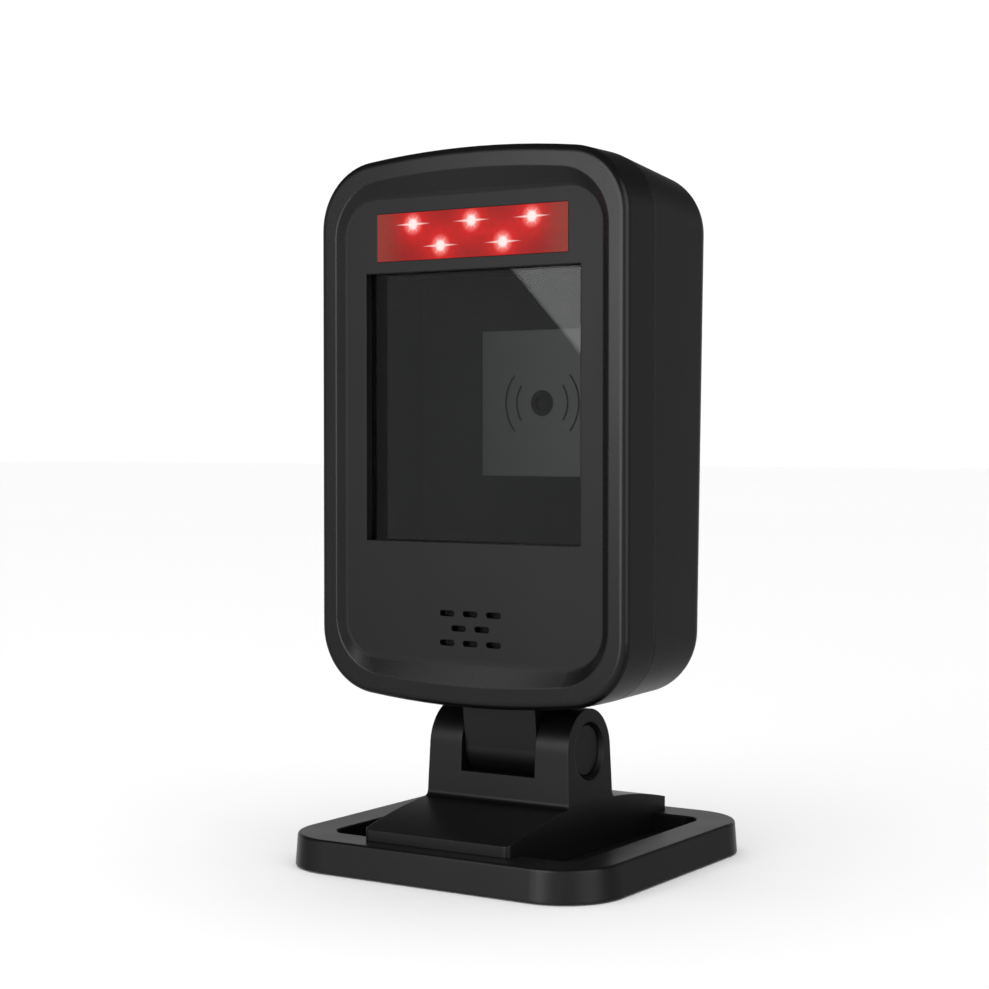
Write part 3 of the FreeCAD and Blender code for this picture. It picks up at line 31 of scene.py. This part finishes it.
class Graph:
    """The node tree of a material or of the world, built by short calls."""

    def __init__(self, name, world=False):
        self.owner = (bpy.data.worlds if world else bpy.data.materials).new(name)
        self.owner.use_nodes = True
        self.tree = self.owner.node_tree
        self.tree.nodes.clear()
        self.output = self.add("ShaderNodeOutputWorld" if world else "ShaderNodeOutputMaterial")
        self.place = None

    def add(self, kind, **settings):
        node = self.tree.nodes.new(kind)
        for key, value in settings.items():
            setattr(node, key, value)
        return node

    def put(self, socket, value):
        if isinstance(value, bpy.types.NodeSocket):
            self.tree.links.new(value, socket)
        else:
            socket.default_value = value

    def where(self):
        """Object coordinates: metres in the row frame."""
        if self.place is None:
            self.place = self.add("ShaderNodeTexCoord").outputs["Object"]
        return self.place

    def axes(self, vector=None):
        node = self.add("ShaderNodeSeparateXYZ")
        self.put(node.inputs[0], vector or self.where())
        return node.outputs["X"], node.outputs["Y"], node.outputs["Z"]

    def dot(self, first, second):
        node = self.add("ShaderNodeVectorMath", operation="DOT_PRODUCT")
        self.put(node.inputs[0], first)
        self.put(node.inputs[1], second)
        return node.outputs["Value"]

    def math(self, operation, *values, clamp=False):
        node = self.add("ShaderNodeMath", operation=operation, use_clamp=clamp)
        for socket, value in zip(node.inputs, values):
            self.put(socket, value)
        return node.outputs[0]

    def span(self, value, low, high, to_low=0.0, to_high=1.0, smooth=True):
        """The value carried from low..high to to_low..to_high, and held at the ends."""
        kind = "SMOOTHSTEP" if smooth else "LINEAR"
        node = self.add("ShaderNodeMapRange", interpolation_type=kind)
        self.put(node.inputs["Value"], value)
        self.put(node.inputs["From Min"], low)
        self.put(node.inputs["From Max"], high)
        self.put(node.inputs["To Min"], to_low)
        self.put(node.inputs["To Max"], to_high)
        return node.outputs["Result"]

    def noise(self, size, detail, stretch=(1, 1, 1)):
        """Noise whose grains are about `size` metres across."""
        mapping = self.add("ShaderNodeMapping")
        self.put(mapping.inputs["Vector"], self.where())
        mapping.inputs["Scale"].default_value = stretch
        node = self.add("ShaderNodeTexNoise")
        self.put(node.inputs["Vector"], mapping.outputs["Vector"])
        node.inputs["Scale"].default_value = 1 / size
        node.inputs["Detail"].default_value = detail
        node.inputs["Roughness"].default_value = 0.5
        return node.outputs["Fac"]

    def grains(self, size, feature="F1"):
        node = self.add("ShaderNodeTexVoronoi", feature=feature)
        self.put(node.inputs["Vector"], self.where())
        node.inputs["Scale"].default_value = 1 / size
        return node.outputs["Distance"]

    def tint(self, factor, dark, light):
        """A colour between two fixed ones."""
        node = self.add("ShaderNodeMix", data_type="RGBA")
        self.put(node.inputs[0], factor)
        node.inputs[6].default_value = (*dark, 1)
        node.inputs[7].default_value = (*light, 1)
        return node.outputs[2]

    def blend(self, factor, first, second):
        """A colour between two that may each come from a node."""
        node = self.add("ShaderNodeMix", data_type="RGBA")
        self.put(node.inputs[0], factor)
        self.put(node.inputs[6], first)
        self.put(node.inputs[7], second)
        return node.outputs[2]

    def soft_edge(self, radius):
        node = self.add("ShaderNodeBevel", samples=6)
        node.inputs["Radius"].default_value = radius
        return node.outputs["Normal"]

    def bump(self, height, depth, normal=None):
        node = self.add("ShaderNodeBump")
        self.put(node.inputs["Height"], height)
        node.inputs["Distance"].default_value = depth
        node.inputs["Strength"].default_value = 1.0
        if normal is not None:
            self.put(node.inputs["Normal"], normal)
        return node.outputs["Normal"]

    def sharp_edge_mask(self, radius):
        """1 on sharp edges, 0 on the faces: where the rounded normal leaves the true one."""
        true_normal = self.add("ShaderNodeNewGeometry").outputs["Normal"]
        return self.span(self.dot(true_normal, self.soft_edge(radius)), 0.995, 0.86)

    def principled(self, **inputs):
        shader = self.add("ShaderNodeBsdfPrincipled")
        for key, value in inputs.items():
            self.put(shader.inputs[key.replace("_", " ")], value)
        return shader.outputs["BSDF"]

    def finish(self, surface):
        self.put(self.output.inputs["Surface"], surface)
        return self.owner


# ------------------------------------------------------------------ materials

# Plastic: the two blacks it drifts between, its roughness, grain size and depth, rounded edges.
BLACK = ((0.0032, 0.0032, 0.0034), (0.0050, 0.0050, 0.0053))
CASE_BLACK = ((0.012, 0.012, 0.012), (0.020, 0.020, 0.020))
PLASTIC_ROUGHNESS = 0.34
GRAIN_SIZE = 0.22 * MM
GRAIN_DEPTH = 0.002 * MM
EDGE_ROUND = 0.35 * MM
# Roughness of the front housing's bezel and of its sunken panel, whose face lies at PANEL_Y.
FRONT_ROUGHNESS = (0.26, 0.47)
PANEL_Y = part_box("led_window")[0].y

# Lamp strip, whose glow is all painted light: the painted flares and halos sit a little to one side of
# the lamps, because the strip refracts the lamps' light.
PAINTED_GLOW_SHIFT = 0.35 * MM
PAINTED_HALO_REACH = 2.3 * MM
PAINTED_HALO_LEVEL = 0.95
PAINTED_STRIP_GLOW = 0.13
# Distances from a lamp at which its painted pink glow and its painted white core begin and are full.
PAINTED_PINK_FADE = (2.7 * MM, 0.9 * MM)
PAINTED_WHITE_FADE = (1.45 * MM, 0.75 * MM)
# Distances from the strip's edges at which the painted paler glow of the cut rim and the duller painted
# glow of the ends do.
PAINTED_RIM_FADE = (0.35 * MM, 0.05 * MM)
PAINTED_END_FADE = (8 * MM, 0.5 * MM)
PAINTED_END_LEVEL = 0.22
# Arms of each painted star flare of white glare: direction, length, width.
PAINTED_FLARE_ARMS = [(math.radians(0), 4.7 * MM, 0.5 * MM),
             (math.radians(52), 2.3 * MM, 0.35 * MM),
             (math.radians(124), 2.2 * MM, 0.35 * MM)]


def moulded_plastic(name, dark, light, gloss, front=None):
    """Black moulded plastic: fine grain, slow gloss drift, softened edges that are paler and glossier
    than the faces.
    front is (bezel roughness, panel roughness) for the housing whose bezel and panel differ."""
    g = Graph(name)
    drift = g.noise(22 * MM, detail=3)
    speck = g.noise(0.35 * MM, detail=2)
    on_sharp_edge = g.sharp_edge_mask(EDGE_ROUND)
    shade = g.math("ADD", g.math("MULTIPLY", drift, 0.65), g.math("MULTIPLY", speck, 0.35))
    # Sharp edges get a paler colour here and a lower roughness below.
    paler_edge_colour = (*[v * 1.7 for v in light], 1)
    colour = g.blend(on_sharp_edge, g.tint(g.span(shade, 0.3, 0.7), dark, light), paler_edge_colour)
    smears = g.noise(9 * MM, detail=4, stretch=(1, 1, 0.35))
    rough = g.span(g.math("ADD", g.math("MULTIPLY", smears, 0.7), g.math("MULTIPLY", speck, 0.3)),
                   0.3, 0.7, gloss - 0.015, gloss + 0.02)
    rough = g.math("SUBTRACT", rough, g.math("MULTIPLY", on_sharp_edge, 0.07))
    if front:
        bezel, panel = front
        depth_y = g.axes()[1]
        sunken = g.span(depth_y, PANEL_Y - 0.35 * MM, PANEL_Y - 0.05 * MM)
        behind = g.span(depth_y, PANEL_Y + 0.05 * MM, PANEL_Y + 0.4 * MM)
        shift = g.span(sunken, 0.0, 1.0, bezel - gloss, panel - gloss)
        rough = g.math("ADD", rough, g.math("MULTIPLY", shift, g.math("SUBTRACT", 1.0, behind)))
    normal = g.bump(g.grains(GRAIN_SIZE), GRAIN_DEPTH, g.soft_edge(EDGE_ROUND))
    return g.finish(g.principled(Base_Color=colour, Roughness=rough, Normal=normal, IOR=1.5))


def inner_plastic():
    """Matt black plastic of the light chamber and the inner parts."""
    g = Graph("chamber_black")
    speck = g.noise(0.5 * MM, detail=3)
    colour = g.tint(g.span(speck, 0.3, 0.7), (0.0008, 0.0008, 0.0009), (0.0016, 0.0016, 0.0017))
    rough = g.span(g.noise(7 * MM, detail=3), 0.3, 0.7, 0.62, 0.74)
    normal = g.bump(g.grains(0.3 * MM), 0.008 * MM, g.soft_edge(0.2 * MM))
    return g.finish(g.principled(Base_Color=colour, Roughness=rough, Normal=normal,
                                 Specular_IOR_Level=0.12))


def window_glass():
    """Clear pane: light goes straight through, with a mirror reflection and faint wiping haze."""
    g = Graph("clear_pane")
    clear = g.add("ShaderNodeBsdfTransparent")
    clear.inputs["Color"].default_value = (0.93, 0.94, 0.94, 1)
    mirror = g.add("ShaderNodeBsdfGlossy")
    mirror.inputs["Color"].default_value = (1, 1, 1, 1)
    haze = g.noise(14 * MM, detail=4, stretch=(1, 1, 0.25))
    g.put(mirror.inputs["Roughness"], g.span(haze, 0.35, 0.75, 0.002, 0.009))
    gloss = g.add("ShaderNodeFresnel")
    gloss.inputs["IOR"].default_value = 1.33
    mix = g.add("ShaderNodeMixShader")
    g.put(mix.inputs[0], gloss.outputs["Fac"])
    g.put(mix.inputs[1], clear.outputs["BSDF"])
    g.put(mix.inputs[2], mirror.outputs["BSDF"])
    return g.finish(mix.outputs["Shader"])


def plate_paint():
    """Satin charcoal paint of the engine plate, with painted light making it paler to the right and
    painted shade making the wave arcs black.
    """
    g = Graph("engine_plate_paint")
    low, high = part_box("engine_plate")
    x, y, _ = g.axes()
    # Painted light: the plate's colour grows paler towards its right end.
    painted_light_ramp = g.span(x, low.x, high.x, smooth=False)
    speck = g.noise(0.3 * MM, detail=3)
    shade = g.math("ADD", g.math("MULTIPLY", painted_light_ramp, 0.8), g.math("MULTIPLY", speck, 0.2))
    # Painted shade: everything behind the front face, the wave arc grooves and the hole walls, is
    # coloured black; it is also made rougher.
    painted_shade_grooves = g.span(y, low.y + 0.02 * MM, low.y + 0.08 * MM)
    face = g.tint(shade, (0.006, 0.006, 0.006), (0.042, 0.042, 0.043))
    colour = g.blend(painted_shade_grooves, face, (0.001, 0.001, 0.001, 1))
    rough = g.span(painted_shade_grooves, 0.0, 1.0, 0.46, 0.95)
    normal = g.bump(speck, 0.006 * MM, g.soft_edge(0.12 * MM))
    return g.finish(g.principled(Base_Color=colour, Roughness=rough, Normal=normal))


def circuit_board():
    """Dark green solder mask with faint copper tracks."""
    g = Graph("circuit_board")
    tracks = g.span(g.grains(1.6 * MM, "DISTANCE_TO_EDGE"), 0.03, 0.07)
    colour = g.tint(tracks, (0.014, 0.055, 0.028), (0.006, 0.026, 0.014))
    normal = g.bump(tracks, 0.02 * MM, g.soft_edge(0.1 * MM))
    return g.finish(g.principled(Base_Color=colour, Roughness=0.34, Normal=normal))


def metal(name, colour, rough, size=0.5 * MM, stretch=(1, 1, 1)):
    """Plated or machined metal with a fine brushed drift in its gloss."""
    g = Graph(name)
    drift = g.noise(size, detail=3, stretch=stretch)
    shade = g.tint(g.span(drift, 0.3, 0.7), [v * 0.75 for v in colour], colour)
    gloss = g.span(drift, 0.3, 0.7, rough - 0.06, rough + 0.08)
    normal = g.bump(drift, 0.004 * MM, g.soft_edge(0.12 * MM))
    return g.finish(g.principled(Base_Color=shade, Metallic=1.0, Roughness=gloss, Normal=normal))


def rubber():
    """Matt black rubber foot with a fine open grain."""
    g = Graph("foot_rubber")
    grain = g.grains(0.4 * MM)
    colour = g.tint(g.span(grain, 0.1, 0.8), (0.010, 0.010, 0.010), (0.020, 0.020, 0.020))
    normal = g.bump(grain, 0.03 * MM, g.soft_edge(0.2 * MM))
    return g.finish(g.principled(Base_Color=colour, Roughness=0.78, Normal=normal))


def foam():
    """Open black foam of the gasket."""
    g = Graph("gasket_foam")
    cells = g.grains(0.45 * MM)
    colour = g.tint(g.span(cells, 0.1, 0.8), (0.004, 0.004, 0.004), (0.018, 0.018, 0.018))
    normal = g.bump(cells, 0.06 * MM)
    return g.finish(g.principled(Base_Color=colour, Roughness=0.9, Normal=normal))


def lens_glass():
    """Near-black coated lens."""
    g = Graph("coated_lens")
    ring = g.noise(1.2 * MM, detail=1)
    colour = g.tint(g.span(ring, 0.2, 0.8), (0.002, 0.002, 0.003), (0.004, 0.003, 0.006))
    return g.finish(g.principled(Base_Color=colour, Roughness=0.3, Specular_IOR_Level=0.02))


def flex_film():
    """Amber polyimide ribbon with faint conductors along it."""
    g = Graph("flex_film")
    lines = g.noise(0.5 * MM, detail=1, stretch=(1, 0.02, 0.02))
    colour = g.tint(g.span(lines, 0.4, 0.6), (0.19, 0.065, 0.012), (0.32, 0.13, 0.03))
    normal = g.bump(lines, 0.02 * MM)
    return g.finish(g.principled(Base_Color=colour, Roughness=0.32, Normal=normal))


def lamp_emitter():
    """Red lamp body, glowing."""
    g = Graph("lamp_emitter")
    grain = g.noise(0.6 * MM, detail=2)
    glow = g.tint(grain, (1.0, 0.10, 0.14), (1.0, 0.42, 0.48))
    return g.finish(g.principled(Base_Color=(0.6, 0.05, 0.05, 1), Roughness=0.25,
                                 Emission_Color=glow, Emission_Strength=6.0))


def lamp_window():
    """Red translucent strip whose emission is painted light: a painted glow of the light scattered
    round each lamp, a painted star flare, painted pale cut edges.
    """
    g = Graph("red_lamp_strip")
    x, _, z = g.axes()
    # Painted light: a glow that falls off round each lamp, its pink inner part, and its white core and
    # flares.
    painted_halo, painted_pink_glow, painted_white_glare = 0.0, 0.0, 0.0
    for lamp in sorted(n for n in nodes if n.startswith("led_") and n[4:].isdigit()):
        low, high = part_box(lamp)
        middle = (low + high) / 2
        dx = g.math("SUBTRACT", x, middle.x + PAINTED_GLOW_SHIFT)
        dz = g.math("SUBTRACT", z, middle.z)
        square = g.math("ADD", g.math("MULTIPLY", dx, dx), g.math("MULTIPLY", dz, dz))
        reach = g.math("SQRT", square)
        painted_halo = g.math("ADD", painted_halo, g.math("EXPONENT", g.math("DIVIDE", reach, -PAINTED_HALO_REACH)))
        painted_pink_glow = g.math("MAXIMUM", painted_pink_glow, g.span(reach, *PAINTED_PINK_FADE))
        painted_white_glare = g.math("MAXIMUM", painted_white_glare, g.span(reach, *PAINTED_WHITE_FADE))
        # Painted star flare: thin rays of white glare reaching out from each lamp.
        for turn, length, width in PAINTED_FLARE_ARMS:
            along = g.math("ADD", g.math("MULTIPLY", dx, math.cos(turn)),
                           g.math("MULTIPLY", dz, math.sin(turn)))
            side = g.math("SUBTRACT", g.math("MULTIPLY", dz, math.cos(turn)),
                          g.math("MULTIPLY", dx, math.sin(turn)))
            fall = g.span(g.math("ABSOLUTE", along), length, 0.5 * MM, smooth=False)
            ray = g.span(g.math("ABSOLUTE", side), g.math("MULTIPLY", fall, width), 0.0)
            painted_white_glare = g.math("MAXIMUM", painted_white_glare, g.math("MULTIPLY", ray, g.math("POWER", fall, 0.7)))
    low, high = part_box("led_window")
    inset = g.math("MINIMUM", g.math("SUBTRACT", x, low.x), g.math("SUBTRACT", high.x, x))
    tall = g.math("MINIMUM", g.math("SUBTRACT", z, low.z), g.math("SUBTRACT", high.z, z))
    # Painted paler glow along the strip's cut rim.
    painted_rim_glow = g.span(g.math("MINIMUM", inset, tall), *PAINTED_RIM_FADE)
    mottle = g.noise(1.4 * MM, detail=3)
    # Painted glow all over the strip, stronger round each lamp, as if the lamps lit it from behind.
    level = g.math("ADD", g.math("MULTIPLY", painted_halo, PAINTED_HALO_LEVEL), PAINTED_STRIP_GLOW)
    level = g.math("ADD", level, g.math("MULTIPLY", painted_rim_glow, 0.08))
    level = g.math("MULTIPLY", level, g.span(mottle, 0.2, 0.8, 0.92, 1.08))
    glow = g.tint(level, (0, 0, 0), (1.0, 0.010, 0.008))
    # Painted duller, browner glow towards the strip's ends.
    glow = g.blend(g.span(inset, *PAINTED_END_FADE, 0.0, PAINTED_END_LEVEL), glow, (0.20, 0.12, 0.08, 1))
    # Painted pink glow round each lamp, then painted white glare at its core and along its flares.
    glow = g.blend(g.math("MULTIPLY", painted_pink_glow, 0.85), glow, (0.90, 0.27, 0.25, 1))
    glow = g.blend(g.math("MULTIPLY", painted_white_glare, 1.0, clamp=True), glow, (0.95, 0.84, 0.81, 1))
    body = g.tint(mottle, (0.085, 0.005, 0.004), (0.115, 0.007, 0.006))
    return g.finish(g.principled(Base_Color=body, Roughness=0.42, Specular_IOR_Level=0.2,
                                 Emission_Color=glow, Emission_Strength=1.0,
                                 Normal=g.soft_edge(0.15 * MM)))


SLOT_MATERIALS = {
    "housing_plastic": moulded_plastic("satin_black_plastic", *BLACK, PLASTIC_ROUGHNESS),
    "inner_plastic": inner_plastic(),
    "window_glass": window_glass(),
    "lamp_window": lamp_window(),
    "gasket_foam": foam(),
    "plate_paint": plate_paint(),
    "circuit_board": circuit_board(),
    "lamp_emitter": lamp_emitter(),
    "lens_glass": lens_glass(),
    "screw_steel": metal("zinc_screw_steel", (0.36, 0.36, 0.37), 0.38),
    "weight_steel": metal("plate_steel", (0.30, 0.30, 0.31), 0.5, 3 * MM),
    "contact_metal": metal("gold_contacts", (0.85, 0.60, 0.24), 0.24),
    "flex_film": flex_film(),
    "speaker_case": moulded_plastic("speaker_case", *CASE_BLACK, 0.42),
    "foot_rubber": rubber(),
}
NODE_MATERIALS = {
    "front_housing": moulded_plastic("front_black_plastic", *BLACK, PLASTIC_ROUGHNESS, FRONT_ROUGHNESS),
}
for name, node in nodes.items():
    for place in node.material_slots:
        slot_name = place.material.name.split(".")[0]
        if slot_name in SLOT_MATERIALS:
            place.material = NODE_MATERIALS.get(name, SLOT_MATERIALS[slot_name])
        else:
            print("NO MATERIAL FOR", name, slot_name)


# --------------------------------------------------------- floor, light, camera

FLOOR_REACH = 6.0
BACKDROP_STRENGTH = 1.05
CEILING_IRRADIANCE = 3.05
CEILING_SPREAD = 100
# The camera that the photograph was solved for.
CAMERA_EYE = Vector((231.8, -372.4, 89.64)) * MM
CAMERA_AIM = Vector((0, -10.06, 78.26)) * MM
CAMERA_LENS = 74.52
CAMERA_SENSOR = 36.0
# Room brightness below and above the fading band, whose elevations are in degrees.
ROOM_FADE = (11, 26)
ROOM_LEVELS = (0.20, 0.035)
# Paler places of the room: direction, full and zero angle, extra brightness, fading elevations.
ROOM_GLOW = [((0.0, -1.0, 0.0), 30, 75, 0.26, (14, 40)),
             ((-0.6, 0.80, 0.0), 20, 55, 0.50, (10, 20)),
             ((0.87, -0.18, 0.26), 16, 32, 1.15, None)]
# The card's lower left edge runs at CARD_TURN through this point; the pane mirrors it in its
# top right corner.
CARD_EDGE = Vector((-0.336, -0.60, 0.159))
CARD_TURN = math.radians(42.5)
CARD_SIZE = (0.42, 0.44)
CARD_SLIDE = 0.13
CARD_RADIANCE = 2.3
CARD_PLACE = (CARD_EDGE
              + Vector((math.cos(CARD_TURN), 0, math.sin(CARD_TURN))) * CARD_SIZE[0] / 2
              + Vector((math.sin(CARD_TURN), 0, -math.cos(CARD_TURN))) * CARD_SLIDE)


def pale_floor():
    mesh = bpy.data.meshes.new("floor")
    corners = [(x * FLOOR_REACH, y * FLOOR_REACH, 0) for x, y in ((-1, -1), (1, -1), (1, 1), (-1, 1))]
    mesh.from_pydata(corners, [], [(0, 1, 2, 3)])
    floor = bpy.data.objects.new("floor", mesh)
    bpy.context.scene.collection.objects.link(floor)
    g = Graph("pale_floor")
    shade = g.tint(g.noise(0.9, detail=2), (0.90, 0.90, 0.90), (0.92, 0.92, 0.92))
    matt = g.principled(Base_Color=shade, Roughness=0.75, Specular_IOR_Level=0.1)
    mesh.materials.append(g.finish(matt))
    floor.visible_glossy = False


def softbox(name, place, facing, size, radiance, turn):
    """Area light of even radiance that looks along `facing`; `turn` spins it in its own plane."""
    data = bpy.data.lights.new(name, "AREA")
    data.shape = "RECTANGLE"
    data.size, data.size_y = size
    data.energy = radiance * math.pi * size[0] * size[1]
    light = bpy.data.objects.new(name, data)
    bpy.context.scene.collection.objects.link(light)
    light.location = place
    light.rotation_mode = "QUATERNION"
    spin = Quaternion((0, 0, 1), turn)
    light.rotation_quaternion = Vector(facing).to_track_quat("-Z", "Y") @ spin
    light.visible_camera = False


def ceiling(irradiance, spread):
    """One very broad, soft light from straight above, the same all over the floor."""
    data = bpy.data.lights.new("ceiling", "SUN")
    data.energy = irradiance
    data.angle = math.radians(spread)
    light = bpy.data.objects.new("ceiling", data)
    bpy.context.scene.collection.objects.link(light)
    light.location = (0, 0, 2)
    light.visible_glossy = False


def studio_world():
    """White behind the object; for reflections a dim room, pale at eye level, dark overhead."""
    g = Graph("studio", world=True)
    seen = g.add("ShaderNodeBackground")
    seen.inputs["Strength"].default_value = BACKDROP_STRENGTH
    seen.inputs["Color"].default_value = (1, 1, 1, 1)
    direction = g.add("ShaderNodeTexCoord").outputs["Generated"]
    height = g.axes(direction)[2]
    level = g.span(height, *[math.sin(math.radians(v)) for v in ROOM_FADE], *ROOM_LEVELS)
    for toward, full, edge, extra, fade in ROOM_GLOW:
        lobe = g.span(g.dot(direction, Vector(toward).normalized()), math.cos(math.radians(edge)),
                      math.cos(math.radians(full)), 0.0, extra)
        if fade:
            band = [math.sin(math.radians(v)) for v in fade]
            lobe = g.math("MULTIPLY", lobe, g.span(height, *band, 1.0, 0.0))
        level = g.math("ADD", level, lobe)
    room = g.add("ShaderNodeBackground")
    room.inputs["Color"].default_value = (1, 1, 1, 1)
    g.put(room.inputs["Strength"], level)
    mix = g.add("ShaderNodeMixShader")
    g.put(mix.inputs[0], g.add("ShaderNodeLightPath").outputs["Is Camera Ray"])
    g.put(mix.inputs[1], room.outputs[0])
    g.put(mix.inputs[2], seen.outputs[0])
    bpy.context.scene.world = g.finish(mix.outputs[0])


def camera():
    data = bpy.data.cameras.new("camera")
    data.sensor_width = CAMERA_SENSOR
    data.lens = CAMERA_LENS
    eye = bpy.data.objects.new("camera", data)
    bpy.context.scene.collection.objects.link(eye)
    eye.location = CAMERA_EYE
    eye.rotation_euler = (CAMERA_AIM - CAMERA_EYE).to_track_quat("-Z", "Y").to_euler()
    data.clip_start = 0.01
    bpy.context.scene.camera = eye


pale_floor()
studio_world()
camera()
ceiling(CEILING_IRRADIANCE, CEILING_SPREAD)
softbox("front_card", CARD_PLACE, (0, 1, 0), CARD_SIZE, CARD_RADIANCE, CARD_TURN)
bpy.context.scene.view_settings.view_transform = "Standard"
bpy.context.scene.view_settings.look = "None"
